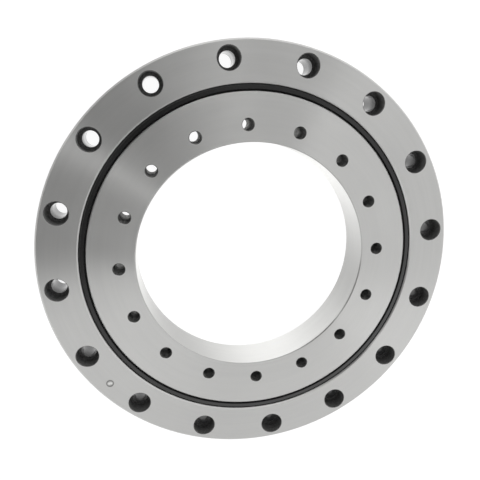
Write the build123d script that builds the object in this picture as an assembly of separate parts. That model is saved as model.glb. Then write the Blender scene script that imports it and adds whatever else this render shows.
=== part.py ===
from build123d import *
import os
from math import degrees, floor, pi, sqrt

# Crossed roller bearing with one-piece rings that bolt straight to their flanges.
# Millimetres. It lies on its back face at height 0, its axis is Z, and the counterbored front face is up.

# Rings
bore_diameter = 210.0
inner_ring_depth = 43.65  # bore wall to roller circle
outer_ring_depth = 41.35  # roller circle to outside wall
ring_width = 40.0
outside_chamfer = 1.5
bore_chamfer = 1.0

# Counterbored holes of the outer ring, for M12 cap screws
outer_hole_count = 16
outer_hole_inset = 15.0  # outside wall to bolt circle
outer_hole_diameter = 14.0
counterbore_diameter = 20.0
counterbore_depth = 13.0
outer_hole_chamfer = 0.5

# Tapped holes of the inner ring, M12 right through, drawn at their tapping size
inner_hole_count = 16
inner_hole_inset = 15.0  # bore wall to bolt circle
inner_hole_diameter = 10.3
inner_hole_mouth_diameter = 11.4
inner_hole_turn = -4.7  # degrees from the outer ring's first hole to the inner ring's

# Rollers
roller_diameter = 15.0
roller_length = 14.6
roller_chamfer = 0.6
roller_tilt = 45.0
race_clearance = 0.1

# Raceways: a square groove on its corner, half in each ring, with a relief slot at its bottom
relief_width = 1.6
relief_depth = 0.8
inner_land_inset = 1.05  # roller circle to the inner ring's land
outer_land_offset = 1.15  # roller circle to the outer ring's land
land_chamfer = 1.0

# Spacer blocks between the rollers
spacer_web = 2.9  # least thickness between two rollers
spacer_wrap = 9.0  # length along the roller circle
spacer_corner = 2.2
spacer_race_clearance = 0.3
spacer_roller_clearance = 0.12

# Seals, one in each face, held by a bead in the outer ring
seat_offset = 5.55  # roller circle to the seat's wall
seat_depth = 5.0
bead_radius = 0.8
bead_height = 3.5  # ring face to the bead's centre
bead_clearance = 0.05
seal_recess = 0.6  # ring face to the seal's top
seal_shoulder = 1.75  # slope between the seal's top and its seat
seal_band_width = 2.9  # flat top of the seal
seal_fold_depth = 2.4  # ring face to the fold between body and lip
seal_lip_thickness = 0.9
lip_clearance = 0.3

# Filling hole for the rollers, closed by a plug that a taper pin locks
plug_diameter = 21.5
plug_clearance = 0.03
plug_turn = 5.5  # outer hole spacings from the first hole to the plug
pin_inset = 13.3  # outside wall to the pin
pin_diameter = 6.0  # at the front face
pin_tip_diameter = 5.32  # at its blind end
pin_end_margin = 6.0  # blind end to back face
pin_end_gap = 0.3
pin_clearance = 0.02

# Grease holes through the outer ring's wall
grease_hole_count = 4
grease_hole_diameter = 4.0
grease_hole_mouth_diameter = 6.0
grease_hole_turn = 11.25  # degrees from the outer ring's first hole to the first grease hole

# Worked out from the sizes above
bore_radius = bore_diameter / 2
roller_circle = bore_radius + inner_ring_depth
outside_radius = roller_circle + outer_ring_depth
middle = ring_width / 2
inner_land = roller_circle - inner_land_inset
outer_land = roller_circle + outer_land_offset
seat_radius = roller_circle + seat_offset
race_half = roller_diameter / 2 + race_clearance
race_reach = race_half * sqrt(2)
outer_bolt_circle = outside_radius - outer_hole_inset
inner_bolt_circle = bore_radius + inner_hole_inset
outer_hole_angle = 360 / outer_hole_count
roller_pairs = floor(pi * roller_circle / (roller_diameter + spacer_web))
roller_count = 2 * roller_pairs
roller_angle = 360 / roller_count
plug_angle = plug_turn * outer_hole_angle
cutter_overrun = 1.0


def turned(outline, arc=360):
    """Turn an outline of radius and height about the bearing's axis."""
    return revolve(Plane.XZ * outline, Axis.Z, arc)


def mirrored_outline(upper_half):
    """Close a ring's outline, whose lower half mirrors the upper one."""
    lower_half = [(radius, ring_width - height) for radius, height in reversed(upper_half)]
    return make_face(Polyline(*upper_half, *lower_half, close=True))


def around(shape, radius, count, start=0.0):
    """Copies of a shape on a circle about the bearing's axis."""
    step = 360 / count
    return [Rot(0, 0, start + step * i) * Pos(radius, 0, 0) * shape for i in range(count)]


def counterbored_hole():
    """Cutter for one screw hole of the outer ring, with its broken edges."""
    hole = outer_hole_diameter / 2
    head = counterbore_diameter / 2
    shoulder = ring_width - counterbore_depth
    edge = outer_hole_chamfer
    points = [
        (0, -cutter_overrun),
        (hole + edge + cutter_overrun, -cutter_overrun),
        (hole, edge),
        (hole, shoulder),
        (head, shoulder),
        (head, ring_width - edge),
        (head + edge + cutter_overrun, ring_width + cutter_overrun),
        (0, ring_width + cutter_overrun),
    ]
    return turned(make_face(Polyline(*points, close=True)))


def tapped_hole():
    """Cutter for one tapped hole of the inner ring, countersunk at both faces."""
    hole = inner_hole_diameter / 2
    sink = (inner_hole_mouth_diameter - inner_hole_diameter) / 2
    mouth = hole + sink + cutter_overrun
    points = [
        (0, -cutter_overrun),
        (mouth, -cutter_overrun),
        (hole, sink),
        (hole, ring_width - sink),
        (mouth, ring_width + cutter_overrun),
        (0, ring_width + cutter_overrun),
    ]
    return turned(make_face(Polyline(*points, close=True)))


def radial_cylinder(radius, start, end, angle):
    """A cylinder that points away from the bearing's axis at mid height."""
    bar = Cylinder(radius, end - start, align=(Align.CENTER, Align.CENTER, Align.MIN))
    return Rot(0, 0, angle) * Pos(start, 0, middle) * Rot(0, 90, 0) * bar


def pin_cone(clearance, end_gap):
    """The taper pin's cone, with its wide end in the front face."""
    length = ring_width - pin_end_margin - end_gap
    wide = pin_diameter / 2 - clearance
    narrow = pin_tip_diameter / 2 - clearance
    cone = Cone(narrow, wide, length, align=(Align.CENTER, Align.CENTER, Align.MAX))
    return Rot(0, 0, plug_angle) * Pos(outside_radius - pin_inset, 0, ring_width) * cone


def grease_hole(angle):
    """Cutter for one grease hole, from the outside wall to the raceway's relief."""
    hole = grease_hole_diameter / 2
    mouth = grease_hole_mouth_diameter / 2
    sink = Cone(hole, mouth + cutter_overrun, mouth + cutter_overrun - hole)
    sink_start = outside_radius - (mouth - hole)
    sink_middle = sink_start + (mouth + cutter_overrun - hole) / 2
    countersink = Rot(0, 0, angle) * Pos(sink_middle, 0, middle) * Rot(0, 90, 0) * sink
    return radial_cylinder(hole, roller_circle, outside_radius, angle) + countersink


# The outer ring's turned blank: raceway, seal seats and the grooves that hold the seals' beads
outer_apex = roller_circle + race_reach
outer_half = [
    (outer_apex + relief_depth, middle + relief_width / 2),
    (outer_apex - relief_width / 2, middle + relief_width / 2),
    (outer_land, middle + race_reach - outer_land_offset),
    (outer_land, ring_width - seat_depth),
    (seat_radius, ring_width - seat_depth),
    (seat_radius, ring_width - land_chamfer),
    (seat_radius + land_chamfer, ring_width),
    (outside_radius - outside_chamfer, ring_width),
    (outside_radius, ring_width - outside_chamfer),
]
bead_groove = Circle(bead_radius + bead_clearance)
outer_outline = mirrored_outline(outer_half)
outer_outline -= Pos(seat_radius, ring_width - bead_height) * bead_groove
outer_outline -= Pos(seat_radius, bead_height) * bead_groove
outer_blank = turned(outer_outline)

# Its holes, the filling hole among them
outer_ring = outer_blank - around(counterbored_hole(), outer_bolt_circle, outer_hole_count)
outer_ring -= radial_cylinder(plug_diameter / 2, roller_circle, outside_radius + cutter_overrun, plug_angle)
outer_ring -= pin_cone(0, 0)
for index in range(grease_hole_count):
    outer_ring -= grease_hole(grease_hole_turn + index * 360 / grease_hole_count)

# The plug is cut from the same turned form, so it carries on the raceway and the outside wall
plug_bar = radial_cylinder(
    plug_diameter / 2 - plug_clearance, roller_circle, outside_radius + cutter_overrun, plug_angle
)
filling_plug = (outer_blank & plug_bar) - pin_cone(0, 0)
taper_pin = pin_cone(pin_clearance, pin_end_gap)

# The inner ring: its half of the raceway on the outside, tapped holes and a plain bore
inner_apex = roller_circle - race_reach
inner_half = [
    (inner_apex - relief_depth, middle + relief_width / 2),
    (inner_apex + relief_width / 2, middle + relief_width / 2),
    (inner_land, middle + race_reach - inner_land_inset),
    (inner_land, ring_width - land_chamfer),
    (inner_land - land_chamfer, ring_width),
    (bore_radius + bore_chamfer, ring_width),
    (bore_radius, ring_width - bore_chamfer),
]
inner_blank = turned(mirrored_outline(inner_half))
inner_ring = inner_blank - around(
    tapped_hole(), inner_bolt_circle, inner_hole_count, inner_hole_turn
)

# Moulded rubber seal: a body that fills the seat, a bead in the groove and a lip at the inner land
seal_outside = seat_radius - bead_clearance
seal_top = ring_width - seal_recess
band_outside = seal_outside - seal_shoulder
band_inside = band_outside - seal_band_width
seal_foot = ring_width - seat_depth + bead_clearance
lip_edge = inner_land + lip_clearance
fold_height = ring_width - seal_fold_depth
seal_body = [
    (band_outside, seal_top),
    (seal_outside, seal_top - seal_shoulder),
    (seal_outside, seal_foot),
    (outer_land, seal_foot),
    (lip_edge, seal_top - 2 * seal_lip_thickness),
    (lip_edge, seal_top - seal_lip_thickness / 2),
    (band_inside - seal_lip_thickness / 2, fold_height),
    (band_inside, seal_top),
]
seal_outline = make_face(Polyline(*seal_body, close=True))
seal_outline += Pos(seal_outside, ring_width - bead_height) * Circle(bead_radius)
seal_upper = turned(seal_outline)
seal_lower = mirror(seal_upper, Plane.XY.offset(middle))

# Rollers, each tilted the other way from its neighbours
plain_roller = Cylinder(roller_diameter / 2, roller_length)
roller = chamfer(plain_roller.edges().filter_by(GeomType.CIRCLE), roller_chamfer)


def in_raceway(shape, angle, tilt):
    """Put a shape that stands on Z into the raceway, tilted away from the bearing's axis."""
    return Rot(0, 0, angle) * Pos(roller_circle, 0, middle) * Rot(0, tilt, 0) * shape


def spacer_block(tilt_before):
    """One spacer at angle 0: a block that follows the raceway, hollowed on each side for a roller."""
    side = 2 * (race_half - spacer_race_clearance)
    square = Rot(0, 0, roller_tilt) * Rectangle(side, side)
    section = Pos(roller_circle, middle) * chamfer(square.vertices(), spacer_corner)
    arc = degrees(spacer_wrap / roller_circle)
    block = Rot(0, 0, -arc / 2) * turned(section, arc)
    hollow = Cylinder(roller_diameter / 2 + spacer_roller_clearance, 2 * side)
    block -= in_raceway(hollow, -roller_angle / 2, tilt_before)
    block -= in_raceway(hollow, roller_angle / 2, -tilt_before)
    return block


spacer_kinds = [spacer_block(roller_tilt), spacer_block(-roller_tilt)]
rollers = []
spacers = []
for index in range(roller_count):
    tilt = roller_tilt if index % 2 == 0 else -roller_tilt
    rollers.append(in_raceway(roller, index * roller_angle, tilt))
    spacers.append(Rot(0, 0, (index + 0.5) * roller_angle) * spacer_kinds[index % 2])

nodes = {
    "outer_ring": outer_ring,
    "inner_ring": inner_ring,
    "filling_plug": filling_plug,
    "taper_pin": taper_pin,
    "seal_upper": seal_upper,
    "seal_lower": seal_lower,
    "roller_spacers": Compound(children=[spacer.solid() for spacer in spacers]),
}
for index, placed_roller in enumerate(rollers):
    nodes[f"roller_{index + 1:02d}"] = placed_roller

os.makedirs("parts", exist_ok=True)
for name, shape in nodes.items():
    shape.label = name
    export_step(shape, f"parts/{name}.step")
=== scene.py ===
import math

import bmesh
import bpy
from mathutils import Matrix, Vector


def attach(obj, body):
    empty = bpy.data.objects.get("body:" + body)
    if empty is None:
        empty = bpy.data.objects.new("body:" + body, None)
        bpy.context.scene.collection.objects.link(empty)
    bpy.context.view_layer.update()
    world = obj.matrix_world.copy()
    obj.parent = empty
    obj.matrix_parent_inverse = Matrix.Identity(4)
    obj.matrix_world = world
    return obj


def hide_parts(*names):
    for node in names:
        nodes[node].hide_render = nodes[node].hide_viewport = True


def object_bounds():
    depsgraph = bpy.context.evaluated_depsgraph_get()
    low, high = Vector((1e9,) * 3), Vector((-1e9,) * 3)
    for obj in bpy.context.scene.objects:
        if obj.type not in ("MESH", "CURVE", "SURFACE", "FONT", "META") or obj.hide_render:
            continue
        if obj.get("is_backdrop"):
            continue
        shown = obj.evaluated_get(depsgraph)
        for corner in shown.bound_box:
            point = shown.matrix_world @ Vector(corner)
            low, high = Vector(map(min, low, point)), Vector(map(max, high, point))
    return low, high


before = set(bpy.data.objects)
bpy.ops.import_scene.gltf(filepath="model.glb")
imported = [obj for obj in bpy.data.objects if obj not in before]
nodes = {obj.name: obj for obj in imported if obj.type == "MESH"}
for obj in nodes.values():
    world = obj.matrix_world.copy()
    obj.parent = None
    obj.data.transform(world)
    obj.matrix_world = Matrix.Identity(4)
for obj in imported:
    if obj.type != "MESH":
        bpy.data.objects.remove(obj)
cad_box = [list(corner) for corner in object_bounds()]


# Outer ring: one piece of bearing steel, forged, turned, drilled and hardened. Its faces, seal seats and
# outside are ground bright afterwards. The counterbores and the screw holes below them aren't, so they
# keep the black scale of the hardening. Sizes are in metres.
ring_width = 0.040
outer_hole_count = 16
outer_hole_circle = 0.175
counterbore_radius = 0.010
counterbore_floor = 0.027
screw_hole_radius = 0.007
hole_edge = 0.0004  # a hole's broken edge, which is finished as its wall is
face_margin = 0.0001  # tells a hole's wall from the ring's face at its end
ring_colour = (0.642, 0.641, 0.630, 1)
scale_colour = (0.100, 0.100, 0.098, 1)
drilled_colour = (0.028, 0.028, 0.027, 1)


def place(tree, kind, feeds=None, **settings):
    """One shader node with its settings, and a value or another node's output for each named socket."""
    made = tree.nodes.new(kind)
    for name, value in settings.items():
        setattr(made, name, value)
    for socket, feed in (feeds or {}).items():
        if isinstance(feed, bpy.types.NodeSocket):
            tree.links.new(feed, made.inputs[socket])
        else:
            made.inputs[socket].default_value = feed
    return made


def sums(tree, operation, *feeds):
    """The result of one sum on numbers or outputs."""
    return place(tree, "ShaderNodeMath", dict(enumerate(feeds)), operation=operation).outputs[0]


def vector_sums(tree, operation, *feeds):
    """The result of one sum on places or colours."""
    return place(tree, "ShaderNodeVectorMath", dict(enumerate(feeds)), operation=operation).outputs


def blend_range(tree, value, start, end, low=0.0, high=1.0):
    """A smooth step of a value from low to high between start and end."""
    feeds = {"Value": value, "From Min": start, "From Max": end, "To Min": low, "To Max": high}
    made = place(tree, "ShaderNodeMapRange", feeds, interpolation_type="SMOOTHSTEP")
    return made.outputs["Result"]


def object_place(tree):
    """A point's place on the object."""
    return place(tree, "ShaderNodeTexCoord").outputs["Object"]


def along_axis(tree, here):
    """A place's height along the bearing's axis."""
    return place(tree, "ShaderNodeSeparateXYZ", {0: here}).outputs["Z"]


def mottle(tree, where, scale, detail):
    """A random pattern from 0 to 1, with so many patches to the metre."""
    feeds = {"Vector": where, "Scale": scale, "Detail": detail}
    return place(tree, "ShaderNodeTexNoise", feeds).outputs[0]


def toned(tree, colour, tone):
    """A colour made darker or lighter by a tone that changes over the surface."""
    feeds = {0: colour[:3], "Scale": tone}
    return place(tree, "ShaderNodeVectorMath", feeds, operation="SCALE").outputs[0]


def relief(tree, shader, height, strength, depth):
    """Fine unevenness of a finish."""
    bump = place(tree, "ShaderNodeBump", {"Strength": strength, "Distance": depth, "Height": height})
    tree.links.new(bump.outputs[0], shader.inputs["Normal"])


def new_effect(name, inputs, outputs):
    """An empty node group with named inputs and outputs, for an effect that several finishes use."""
    tree = bpy.data.node_groups.new(name, "ShaderNodeTree")
    for label, kind, value in inputs:
        socket = tree.interface.new_socket(label, in_out="INPUT", socket_type="NodeSocket" + kind)
        socket.default_value = value
    for label, kind in outputs:
        tree.interface.new_socket(label, in_out="OUTPUT", socket_type="NodeSocket" + kind)
    return tree, tree.nodes.new("NodeGroupInput").outputs, tree.nodes.new("NodeGroupOutput").inputs


def apply_effect(tree, effect, **feeds):
    """Place an effect's node group in a material and return its outputs."""
    named = {label.replace("_", " "): feed for label, feed in feeds.items()}
    return place(tree, "ShaderNodeGroup", named, node_tree=effect).outputs


def new_finish(name, **values):
    """A material with a Principled shader, whose plain values are set on its own sockets."""
    material = bpy.data.materials.new(name)
    material.use_nodes = True
    shader = material.node_tree.nodes["Principled BSDF"]
    for socket, value in values.items():
        shader.inputs[socket.replace("_", " ")].default_value = value
    return material, material.node_tree, shader


# The lay of turning and grinding: fine lines round the bearing's axis, some a little deeper than the
# rest, and broad soft clouds where the wheel has cut more or less.
turned_lay, given, result = new_effect(
    "turned_lay",
    [("Place", "Vector", (0, 0, 0)), ("Line Size", "Float", 0.00035), ("Band Size", "Float", 0.004)],
    [("Lines", "Float"), ("Bands", "Float"), ("Clouds", "Float")],
)
place_xyz = place(turned_lay, "ShaderNodeSeparateXYZ", {0: given["Place"]}).outputs
lay_radius = sums(turned_lay, "SQRT", sums(
    turned_lay, "ADD",
    sums(turned_lay, "MULTIPLY", place_xyz["X"], place_xyz["X"]),
    sums(turned_lay, "MULTIPLY", place_xyz["Y"], place_xyz["Y"]),
))
rise_share = 0.618  # so that the lines also part on a wall, where only the height changes
lay_step = sums(turned_lay, "MULTIPLY_ADD", place_xyz["Z"], rise_share, lay_radius)
for label, size, arcs, seed in [("Lines", "Line Size", 5.0, 0.0), ("Bands", "Band Size", 1.5, 7.0)]:
    across = sums(turned_lay, "DIVIDE", lay_step, given[size])
    round_x = sums(turned_lay, "MULTIPLY", sums(turned_lay, "DIVIDE", place_xyz["X"], lay_radius), arcs)
    round_y = sums(turned_lay, "MULTIPLY", sums(turned_lay, "DIVIDE", place_xyz["Y"], lay_radius), arcs)
    spot = place(turned_lay, "ShaderNodeCombineXYZ", {"X": round_x, "Y": round_y, "Z": across})
    noise = place(turned_lay, "ShaderNodeTexNoise",
                  {"Vector": spot.outputs[0], "W": seed, "Scale": 1.0, "Detail": 3.0, "Roughness": 0.6},
                  noise_dimensions="4D")
    turned_lay.links.new(noise.outputs[0], result[label])
turned_lay.links.new(mottle(turned_lay, given["Place"], 22.0, 2.0), result["Clouds"])

tone_spread = 0.10


def ground_finish(name, colour, regions):
    """Ground ring steel. regions(tree, here) gives how dark each place is, and how much brighter."""
    material, tree, shader = new_finish(
        name, Base_Color=colour, Metallic=1.0, Roughness=0.30, Anisotropic=1.0, Anisotropic_Rotation=0.25,
    )
    here = object_place(tree)
    lay = apply_effect(tree, turned_lay, Place=here)
    dark, bright = regions(tree, here)
    tone = sums(tree, "MULTIPLY_ADD", lay["Bands"], tone_spread, 1 - tone_spread / 2)
    for share in (
        sums(tree, "MULTIPLY_ADD", lay["Clouds"], tone_spread, 1 - tone_spread / 2),
        sums(tree, "ADD", bright, 1.0),
        sums(tree, "SUBTRACT", 1.0, dark),
    ):
        tone = sums(tree, "MULTIPLY", tone, share)
    tree.links.new(toned(tree, colour, tone), shader.inputs["Base Color"])
    rough = sums(tree, "MULTIPLY_ADD", lay["Lines"], 0.08, 0.245)
    rough = sums(tree, "MULTIPLY_ADD", lay["Clouds"], 0.05, rough)
    tree.links.new(rough, shader.inputs["Roughness"])
    relief(tree, shader, lay["Lines"], 0.25, 0.00002)
    grain = place(tree, "ShaderNodeTangent", direction_type="RADIAL", axis="Z")
    tree.links.new(grain.outputs[0], shader.inputs["Tangent"])
    return material


# The taper pin's round end lies in the front face, right by the ring's steel, so the two share its
# painted shade and highlight.
pin_radius = 0.00300
pin_circle = 0.1767
pin_turn = math.radians(123.75)
pin_shade_inner = 0.0003
pin_shade_outer = 0.0008
pin_painted_shade = 0.6
pin_highlight_inner = 0.0010
pin_highlight_outer = 0.0020
pin_painted_highlight = 0.35
pin_paint_depth = 0.010
pin_paint_full = 0.002


def pin_painted_shade_and_highlight(tree, here):
    """Painted shade round the taper pin's bevelled edge, and a painted highlight on the pin's domed
    middle.

    The pin's end shows in the front face only."""
    pin_middle = Vector((math.cos(pin_turn), math.sin(pin_turn), 0)) * pin_circle
    flat = vector_sums(tree, "MULTIPLY", here, (1, 1, 0))[0]
    from_pin = vector_sums(tree, "DISTANCE", flat, pin_middle)["Value"]
    from_edge = sums(tree, "ABSOLUTE", sums(tree, "SUBTRACT", from_pin, pin_radius))
    paint_start, paint_full = ring_width - pin_paint_depth, ring_width - pin_paint_full
    in_front = blend_range(tree, along_axis(tree, here), paint_start, paint_full)
    # Painted shade round the pin's edge, and a painted highlight on its dome.
    edge_shade = blend_range(tree, from_edge, pin_shade_outer, pin_shade_inner, 0.0, pin_painted_shade)
    dome_highlight = blend_range(tree, from_pin, pin_highlight_outer, pin_highlight_inner, 0.0, pin_painted_highlight)
    return sums(tree, "MULTIPLY", in_front, edge_shade), sums(tree, "MULTIPLY", in_front, dome_highlight)


def dress(piece, material):
    """Give every slot of a piece this finish."""
    slots = piece.data.materials
    if not slots:
        slots.append(material)
    for index in range(len(slots)):
        slots[index] = material


def dress_faces(piece, material, chosen):
    """Give this finish to the faces whose middle is chosen, and leave the rest as they are."""
    piece.data.materials.append(material)
    slot = len(piece.data.materials) - 1
    for face in piece.data.polygons:
        if chosen(face.center):
            face.material_index = slot


def from_hole(point, circle, count, first=0.0):
    """A point's distance from the nearest hole's axis, of a circle of holes."""
    step = math.tau / count
    turn = (math.atan2(point.y, point.x) - first) % step
    turn = min(turn, step - turn)
    reach = math.hypot(point.x, point.y)
    return math.hypot(reach * math.cos(turn) - circle, reach * math.sin(turn))


def in_counterbore(point):
    """On a counterbore's wall, floor or bevel."""
    near = from_hole(point, outer_hole_circle, outer_hole_count) < counterbore_radius + hole_edge
    return near and counterbore_floor - face_margin < point.z < ring_width - face_margin


def in_screw_hole(point):
    """On the wall of a screw hole below its counterbore."""
    near = from_hole(point, outer_hole_circle, outer_hole_count) < screw_hole_radius + hole_edge
    return near and face_margin < point.z < counterbore_floor - face_margin


outer_ring = nodes["outer_ring"]
dress(outer_ring, ground_finish("outer_ring_steel", ring_colour, pin_painted_shade_and_highlight))

# The counterbores' black scale is dry and a little rough, with fine brown-black speckles.
scale_finish, tree, shader = new_finish("hardening_scale", Base_Color=scale_colour, Roughness=0.5)
speckle = mottle(tree, object_place(tree), 900.0, 4.0)
scale = toned(tree, scale_colour, blend_range(tree, speckle, 0.3, 0.8, 0.6, 1.8))
tree.links.new(scale, shader.inputs["Base Color"])
tree.links.new(blend_range(tree, speckle, 0.3, 0.8, 0.42, 0.58), shader.inputs["Roughness"])
relief(tree, shader, speckle, 0.3, 0.00003)
dress_faces(outer_ring, scale_finish, in_counterbore)

# The screw holes below have a smooth drilled wall, black with the same scale, under a film of the oil
# that keeps the bearing from rust. The oil has run down, so it is thick at the back face's end of the
# hole and has all but left the other end.
oil_full_height = 0.013
oil_end_height = 0.024
feed_stretch = (60.0, 60.0, 1600.0)
drilled_finish, tree, shader = new_finish(
    "drilled_wall", Base_Color=drilled_colour, Roughness=0.18, IOR=1.5, Coat_Roughness=0.1, Coat_IOR=1.45,
)
here = object_place(tree)
feed_marks = mottle(tree, vector_sums(tree, "MULTIPLY", here, feed_stretch)[0], 1.0, 3.0)
wall = toned(tree, drilled_colour, blend_range(tree, feed_marks, 0.3, 0.7, 0.6, 1.4))
oil = blend_range(tree, along_axis(tree, here), oil_end_height, oil_full_height)
tree.links.new(wall, shader.inputs["Base Color"])
tree.links.new(blend_range(tree, feed_marks, 0.3, 0.7, 0.12, 0.24), shader.inputs["Roughness"])
tree.links.new(oil, shader.inputs["Coat Weight"])
relief(tree, shader, feed_marks, 0.3, 0.00003)
dress_faces(outer_ring, drilled_finish, in_screw_hole)


# Filling plug and taper pin: the round plug that closes the rollers' filling hole is ground together
# with the ring, and the pin through the front face locks it, its end ground flush.
plug_colour = (0.615, 0.614, 0.603, 1)


def even(tree, here):
    """Ground alike all over."""
    return 0.0, 0.0


for name, colour, regions, slot in [
    ("filling_plug", plug_colour, even, "plug_steel"),
    ("taper_pin", ring_colour, pin_painted_shade_and_highlight, "pin_steel"),
]:
    dress(nodes[name], ground_finish(name + "_finish", colour, regions))


# Inner ring: the same steel, painted a shade lighter than the outer ring's on both faces and in the bore,
# as painted light. Its 16 holes carry
# M12 threads from face to face, tapped before hardening, so they keep their dark scale.
inner_hole_circle = 0.120
inner_hole_first = math.radians(-4.7)
inner_hole_count = 16
thread_pitch = 0.00175
thread_root = 0.0060
thread_crest = 0.00515
thread_mouth = 0.0057
root_flat = thread_pitch / 8
flank_width = (thread_root - thread_crest) * math.tan(math.radians(30))
threads_below = 2  # spare turns under the back face, so that the thread runs right through
same_point = 1e-6
on_rim = 1e-5
smooth_angle = math.radians(28)
# Painted light: a shade lighter than the outer ring's steel.
inner_ring_lit_colour = (0.668, 0.667, 0.655, 1)
thread_colour = (0.22, 0.22, 0.215, 1)


def thread_surface(mesh, middle, turns):
    """The M12 thread of one hole, between the rims that the ring's faces already have.

    turns are the angles of the rim's points, so that the thread joins it point to point."""
    profile = [
        (-root_flat / 2, thread_root),
        (root_flat / 2, thread_root),
        (root_flat / 2 + flank_width, thread_crest),
        (thread_pitch - root_flat / 2 - flank_width, thread_crest),
    ]
    steps = len(profile)
    pitches = math.ceil(ring_width / thread_pitch) + threads_below + 1
    columns = []
    for turn in turns:
        column = []
        for index in range(pitches * steps + 1):
            step, radius = profile[index % steps]
            height = (index // steps - threads_below + turn / math.tau) * thread_pitch + step
            height = min(max(height, 0.0), ring_width)
            depth = min(height, ring_width - height)
            radius = min(max(radius, thread_mouth - depth), thread_mouth + depth)
            spot = (middle.x + radius * math.cos(turn), middle.y + radius * math.sin(turn), height)
            column.append(mesh.verts.new(spot))
        columns.append(column)
    for index, column in enumerate(columns):
        last = index + 1 == len(columns)
        beside = columns[0][steps:] if last else columns[index + 1]
        for low in range(min(len(column), len(beside)) - 1):
            corners = []
            for corner in (column[low], beside[low], beside[low + 1], column[low + 1]):
                if all((corner.co - kept.co).length > same_point for kept in corners):
                    corners.append(corner)
            if len(corners) > 2:
                mesh.faces.new(corners)


inner_mesh = bmesh.new()
inner_mesh.from_mesh(nodes["inner_ring"].data)
bmesh.ops.remove_doubles(inner_mesh, verts=inner_mesh.verts, dist=same_point)
hole_middles = []
for index in range(inner_hole_count):
    turn = inner_hole_first + index * math.tau / inner_hole_count
    hole_middles.append(Vector((math.cos(turn), math.sin(turn))) * inner_hole_circle)
for middle in hole_middles:
    near = [vert for vert in inner_mesh.verts if (vert.co.xy - middle).length < thread_mouth + on_rim]
    rim = [vert for vert in near if vert.co.z > ring_width - on_rim]
    turns = sorted(math.atan2(*(vert.co.xy - middle).yx) % math.tau for vert in rim)
    touching = {face for vert in near for face in vert.link_faces}
    wall = [face for face in touching if all(vert in near for vert in face.verts)]
    bmesh.ops.delete(inner_mesh, geom=wall, context="FACES")
    thread_surface(inner_mesh, middle, turns)
bmesh.ops.remove_doubles(inner_mesh, verts=inner_mesh.verts, dist=same_point)
loose = [vert for vert in inner_mesh.verts if not vert.link_faces]
bmesh.ops.delete(inner_mesh, geom=loose, context="VERTS")
bmesh.ops.recalc_face_normals(inner_mesh, faces=inner_mesh.faces)
threaded_data = bpy.data.meshes.new("inner_ring_threaded")
inner_mesh.to_mesh(threaded_data)
inner_mesh.free()
if "custom_normal" in threaded_data.attributes:
    threaded_data.attributes.remove(threaded_data.attributes["custom_normal"])
threaded_data.shade_smooth()
threaded_data.set_sharp_from_angle(angle=smooth_angle)
inner_ring = bpy.data.objects.new("inner_ring_threaded", threaded_data)
bpy.context.scene.collection.objects.link(inner_ring)


def from_axis(tree, here):
    """A place's distance from the bearing's axis."""
    return vector_sums(tree, "LENGTH", vector_sums(tree, "MULTIPLY", here, (1, 1, 0))[0])["Value"]


bore_radius = 0.105
bore_wall = (bore_radius + 0.0002, bore_radius + 0.00005)
chamfer_start = (bore_radius + 0.0001, bore_radius + 0.0003)
chamfer_end = (bore_radius + 0.0008, bore_radius + 0.0010)
chamfer_dark = 0.3
# Painted reflection: the bore's steel is painted lighter and darker in three broad bands round it.
painted_band_count = 3
painted_band_first = math.radians(70)
painted_band_spread = 0.30
painted_band_middle = 0.17


def bore_chamfer_and_painted_reflection(tree, here):
    """The bore's steel is painted lighter and darker in three broad soft bands round it, lighter on the
    whole: painted reflection.
    Its chamfers are only turned, so they stay darker."""
    reach = from_axis(tree, here)
    here_xyz = place(tree, "ShaderNodeSeparateXYZ", {0: here}).outputs
    painted_band_turn = sums(tree, "MULTIPLY", sums(tree, "ARCTAN2", here_xyz["Y"], here_xyz["X"]), painted_band_count)
    painted_band_wave = sums(tree, "COSINE", sums(tree, "SUBTRACT", painted_band_turn, painted_band_first * painted_band_count))
    painted_bore_reflection = sums(tree, "MULTIPLY_ADD", painted_band_wave, painted_band_spread, painted_band_middle)
    in_bore = blend_range(tree, reach, *bore_wall)
    past_wall = blend_range(tree, reach, *chamfer_start)
    on_face = blend_range(tree, reach, *chamfer_end)
    in_chamfer = sums(tree, "SUBTRACT", past_wall, on_face)
    return sums(tree, "MULTIPLY", in_chamfer, chamfer_dark), sums(tree, "MULTIPLY", in_bore, painted_bore_reflection)


dress(inner_ring, ground_finish("inner_ring_steel", inner_ring_lit_colour, bore_chamfer_and_painted_reflection))

# The threads' scale is thin, so their flanks show as dark grey steel, patchy where the tap has rubbed.
# They are painted lighter towards the back face, on the white floor, and darker towards the front face:
# painted light and shade.
painted_shade_height = 0.026
painted_light_height = 0.012
thread_finish, tree, shader = new_finish(
    "tapped_thread", Base_Color=thread_colour, Metallic=1.0, Roughness=0.5,
)
here = object_place(tree)
rubbed = mottle(tree, here, 400.0, 4.0)
# Painted light and shade: lighter towards the back face, darker towards the front face.
painted_light_by_height = blend_range(tree, along_axis(tree, here), painted_shade_height, painted_light_height, 0.45, 2.8)
rubbed_and_painted_light_tone = sums(tree, "MULTIPLY", painted_light_by_height, blend_range(tree, rubbed, 0.3, 0.7, 0.7, 1.3))
tree.links.new(toned(tree, thread_colour, rubbed_and_painted_light_tone), shader.inputs["Base Color"])
tree.links.new(blend_range(tree, rubbed, 0.3, 0.7, 0.55, 0.42), shader.inputs["Roughness"])
relief(tree, shader, rubbed, 0.3, 0.00003)


def in_tapped_hole(point):
    """On a tapped hole's thread."""
    near = from_hole(point, inner_hole_circle, inner_hole_count, inner_hole_first)
    return near < thread_mouth + hole_edge and face_margin < point.z < ring_width - face_margin


dress_faces(inner_ring, thread_finish, in_tapped_hole)
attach(inner_ring, "inner_ring")
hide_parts("inner_ring")


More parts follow.
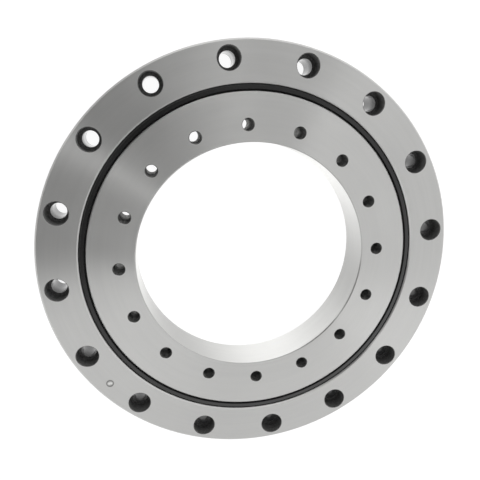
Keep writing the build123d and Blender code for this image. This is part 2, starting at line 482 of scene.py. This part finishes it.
# Rollers: 52 hardened cylinders of bearing steel, ground and honed to a near mirror, each crossed at
# a right angle to its neighbours. A thin film of grease dulls them in patches.
roller_colour = (0.66, 0.66, 0.65, 1)
roller_finish, tree, shader = new_finish(
    "roller_steel_finish", Base_Color=roller_colour, Metallic=1.0, Roughness=0.12, Coat_Roughness=0.25,
)
here = object_place(tree)
grease = mottle(tree, here, 260.0, 3.0)
tree.links.new(blend_range(tree, grease, 0.35, 0.7, 0.10, 0.24), shader.inputs["Roughness"])
tree.links.new(blend_range(tree, grease, 0.45, 0.65, 0.0, 0.5), shader.inputs["Coat Weight"])
relief(tree, shader, mottle(tree, here, 6000.0, 2.0), 0.1, 0.00001)
for name, node in nodes.items():
    if name.startswith("roller_") and name != "roller_spacers":
        dress(node, roller_finish)


# Spacers: 52 moulded polyamide blocks, one between each two rollers, hollowed on both sides. Their
# off-white goes a little translucent at the thin edges and shows a fine moulded grain.
spacer_colour = (0.80, 0.76, 0.66, 1)
spacer_pale = (0.81, 0.77, 0.67)
spacer_stained = (0.74, 0.69, 0.57)


def blend_colours(tree, share, first, second):
    """One colour that gives way to another by a share that changes over the surface."""
    feeds = {"Factor": share, "A": first, "B": second}
    return place(tree, "ShaderNodeMix", feeds, data_type="VECTOR").outputs["Result"]


spacer_finish, tree, shader = new_finish(
    "spacer_polymer_finish", Base_Color=spacer_colour, Roughness=0.45, Subsurface_Weight=0.15,
    Subsurface_Scale=0.001,
)
here = object_place(tree)
grain = mottle(tree, here, 2500.0, 4.0)
stain = blend_range(tree, mottle(tree, here, 120.0, 3.0), 0.4, 0.7)
tree.links.new(blend_colours(tree, stain, spacer_pale, spacer_stained), shader.inputs["Base Color"])
tree.links.new(blend_range(tree, grain, 0.3, 0.7, 0.38, 0.52), shader.inputs["Roughness"])
relief(tree, shader, grain, 0.3, 0.00003)
dress(nodes["roller_spacers"], spacer_finish)


# Seals: black nitrile rubber, moulded in one ring and pressed into the outer ring's seat, one in each
# face. The mould leaves a satin skin with faint flow marks that run round the ring. The lip and
# the outer edge are painted greyer, as painted light on the slopes beside the flat top.
rubber_colour = (0.0075, 0.0075, 0.0075, 1)
rubber_dark = (0.006, 0.006, 0.006)
rubber_light = (0.009, 0.009, 0.009)
painted_light_lift = 0.018
painted_lip_range = (0.1497, 0.1492)
painted_outer_edge_range = (0.1523, 0.1528)
rubber_finish, tree, shader = new_finish(
    "seal_rubber_finish", Base_Color=rubber_colour, Roughness=0.2, Specular_IOR_Level=0.8,
)
here = object_place(tree)
flow = apply_effect(tree, turned_lay, Place=here, Line_Size=0.0006, Band_Size=0.003)
skin = mottle(tree, here, 1800.0, 4.0)
shade = blend_colours(tree, blend_range(tree, flow["Clouds"], 0.35, 0.65), rubber_dark, rubber_light)
reach = from_axis(tree, here)
# Painted light: the lip and the outer edge are painted greyer than the flat top.
painted_slope_light = sums(
    tree, "MAXIMUM",
    blend_range(tree, reach, *painted_lip_range, 0.0, painted_light_lift),
    blend_range(tree, reach, *painted_outer_edge_range, 0.0, painted_light_lift),
)
tree.links.new(vector_sums(tree, "ADD", shade, painted_slope_light)[0], shader.inputs["Base Color"])
rough = sums(tree, "MULTIPLY_ADD", flow["Lines"], 0.08, 0.13)
tree.links.new(sums(tree, "MULTIPLY_ADD", skin, 0.06, rough), shader.inputs["Roughness"])
relief(tree, shader, sums(tree, "MULTIPLY_ADD", skin, 0.5, flow["Lines"]), 0.25, 0.00003)
for name in ("seal_upper", "seal_lower"):
    dress(nodes[name], rubber_finish)


# Camera: above and a little to one side, as the photograph was taken.
camera_place = Vector((0.1380, 0.0664, 0.4727))
camera_turn = (-14.221, -9.270, -96.787)  # degrees about X, Y and Z
camera_data = bpy.data.cameras.new("camera")
camera_data.lens = 37.49
camera_data.sensor_width = 36.0
camera = bpy.data.objects.new("camera", camera_data)
bpy.context.scene.collection.objects.link(camera)
camera.location = camera_place
camera.rotation_euler = [math.radians(degrees) for degrees in camera_turn]
bpy.context.scene.camera = camera


# Studio floor: wide white paper, lit like the object but white to the camera and in reflections. From
# below, the camera looks through it.
floor_reach = 12.0
floor_gap = 0.0001
paper_colour = (0.85, 0.85, 0.85, 1)
shadow_share = (0.17, 0.17, 0.17, 1)
floor_glow = 0.96


def seen_plainly(tree, path):
    """1 for the camera's view, reflections and views through glass, and 0 for light that falls."""
    mirrored = sums(tree, "MAXIMUM", path["Is Glossy Ray"], path["Is Transmission Ray"])
    return sums(tree, "MAXIMUM", path["Is Camera Ray"], mirrored)


def studio_material(name):
    """A material without a shader, whose surface is put together from plain light and paper."""
    material = bpy.data.materials.new(name)
    material.use_nodes = True
    material.node_tree.nodes.clear()
    return material, material.node_tree


floor_data = bpy.data.meshes.new("floor")
corners = [(x * floor_reach, y * floor_reach, 0) for x, y in ((-1, -1), (1, -1), (1, 1), (-1, 1))]
floor_data.from_pydata(corners, [], [(0, 1, 2, 3)])
floor = bpy.data.objects.new("floor", floor_data)
bpy.context.scene.collection.objects.link(floor)
floor.location.z = -floor_gap
floor_material, tree = studio_material("floor_paper")
path = place(tree, "ShaderNodeLightPath").outputs
paper = place(tree, "ShaderNodeBsdfDiffuse", {"Color": paper_colour}).outputs[0]
shaded = place(tree, "ShaderNodeBsdfDiffuse", {"Color": shadow_share}).outputs[0]
glow = place(tree, "ShaderNodeEmission", {"Color": (1, 1, 1, 1), "Strength": floor_glow}).outputs[0]
white = place(tree, "ShaderNodeAddShader", {0: shaded, 1: glow}).outputs[0]
clear = place(tree, "ShaderNodeBsdfTransparent").outputs[0]
backfacing = place(tree, "ShaderNodeNewGeometry").outputs["Backfacing"]
from_below = sums(tree, "MULTIPLY", backfacing, path["Is Camera Ray"])
surface = place(tree, "ShaderNodeMixShader", {0: seen_plainly(tree, path), 1: paper, 2: white}).outputs[0]
surface = place(tree, "ShaderNodeMixShader", {0: from_below, 1: surface, 2: clear}).outputs[0]
place(tree, "ShaderNodeOutputMaterial", {"Surface": surface})
floor_data.materials.append(floor_material)
floor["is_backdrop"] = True


# Studio scrim: a broad cloth overhead that lights the steel and gives it something to mirror. Its middle
# is where the camera's sight of the bearing's middle goes on to, once mirrored in the front face, and
# round that middle the light changes from panel to panel.
scrim_height = 1.20
scrim_radius = 30.0
mirrored_slope = -camera_place.xy / (camera_place.z - ring_width)
overhead_edge = (0.9, 1.5)
upper_sides_edge = (2.8, 5.0)
scrim_data = bpy.data.meshes.new("scrim")
scrim_mesh = bmesh.new()
bmesh.ops.create_circle(scrim_mesh, cap_ends=True, segments=96, radius=scrim_radius)
scrim_mesh.to_mesh(scrim_data)
scrim_mesh.free()
scrim = bpy.data.objects.new("scrim", scrim_data)
bpy.context.scene.collection.objects.link(scrim)
scrim.location = (*(mirrored_slope * (scrim_height - ring_width)), scrim_height)
scrim.visible_camera = False
scrim_material, tree = studio_material("scrim_cloth")
here = object_place(tree)
here_xyz = place(tree, "ShaderNodeSeparateXYZ", {0: here}).outputs
bearing = sums(tree, "ARCTAN2", here_xyz["Y"], here_xyz["X"])
bearing = sums(tree, "DIVIDE", sums(tree, "WRAP", bearing, math.tau, 0.0), math.tau)


def panel_light(panels):
    """Brightness by bearing, in degrees, from one panel's edge to the next."""
    ramp = place(tree, "ShaderNodeValToRGB", {"Fac": bearing})
    stops = ramp.color_ramp.elements
    stops.remove(stops[0])
    stops[0].position = 1.0
    stops[0].color = (panels[0][1],) * 3 + (1,)
    for degrees, light in panels:
        stops.new(degrees / 360).color = (light,) * 3 + (1,)
    return ramp.outputs["Color"]


def blend_lights(share, first, second):
    """One light that gives way to another."""
    feeds = {"Factor": share, "A": first, "B": second}
    return place(tree, "ShaderNodeMix", feeds, data_type="RGBA").outputs["Result"]


# Each row is a panel, or a stretch of a broad one. The first is black, with a slit that lets a strip of
# light through.
overhead = panel_light([
    (0, 0.40), (9, 0.20), (15, 0.12), (48, 0.12),
    (48.5, 0.90), (51.5, 0.90),
    (52, 0.12), (87, 0.12),
    (88, 0.58), (95, 0.62), (100, 0.72), (125, 0.89), (145, 0.94), (165, 0.99), (185, 1.08),
    (210, 1.25), (220, 1.30), (240, 1.30), (245, 1.26), (250, 1.12), (255, 1.00), (270, 0.76),
    (280, 0.66), (305, 0.60), (315, 0.62), (325, 0.70), (328, 0.68),
    (329, 0.34), (345, 0.29), (355, 0.38),
])
upper_sides = panel_light([
    (0, 1.38), (15, 1.20), (20, 1.02), (25, 0.76), (30, 0.53), (35, 0.42), (46, 0.43),
    (47.5, 1.30), (52.5, 1.30),
    (54, 0.50), (65, 0.45), (86, 0.48),
    (88, 1.30), (110, 1.27), (120, 1.13), (135, 0.92), (150, 0.79), (170, 0.63), (185, 0.64),
    (205, 0.75), (215, 0.88), (225, 1.11), (235, 1.27), (245, 1.20),
    (260, 1.30), (275, 1.34), (290, 1.42), (345, 1.42),
])
lower_sides = panel_light([
    (0, 1.00), (12, 0.85),
    (22, 0.30), (75, 0.30),
    (88, 0.80), (120, 0.95), (135, 1.00), (220, 1.00),
    (240, 1.15), (290, 1.15), (310, 1.00), (345, 1.00),
])
outward = vector_sums(tree, "LENGTH", here)["Value"]
lit = blend_lights(blend_range(tree, outward, *overhead_edge), overhead, upper_sides)
lit = blend_lights(blend_range(tree, outward, *upper_sides_edge), lit, lower_sides)
light = place(tree, "ShaderNodeEmission", {"Color": lit, "Strength": 1.0}).outputs[0]
place(tree, "ShaderNodeOutputMaterial", {"Surface": light})
scrim_data.materials.append(scrim_material)
scrim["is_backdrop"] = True


# Studio room: plain white all round, and a little dimmer in the light that it gives than as it is seen.
room_light = 0.9
world = bpy.data.worlds.new("studio")
world.use_nodes = True
tree = world.node_tree
seen = seen_plainly(tree, place(tree, "ShaderNodeLightPath").outputs)
strength = sums(tree, "MULTIPLY_ADD", seen, 1 - room_light, room_light)
tree.nodes["Background"].inputs["Color"].default_value = (1, 1, 1, 1)
tree.links.new(strength, tree.nodes["Background"].inputs["Strength"])
bpy.context.scene.world = world

bpy.context.scene.view_settings.view_transform = "Standard"

size = {"cad_box": cad_box, "visual_box": [list(corner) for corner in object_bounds()]}
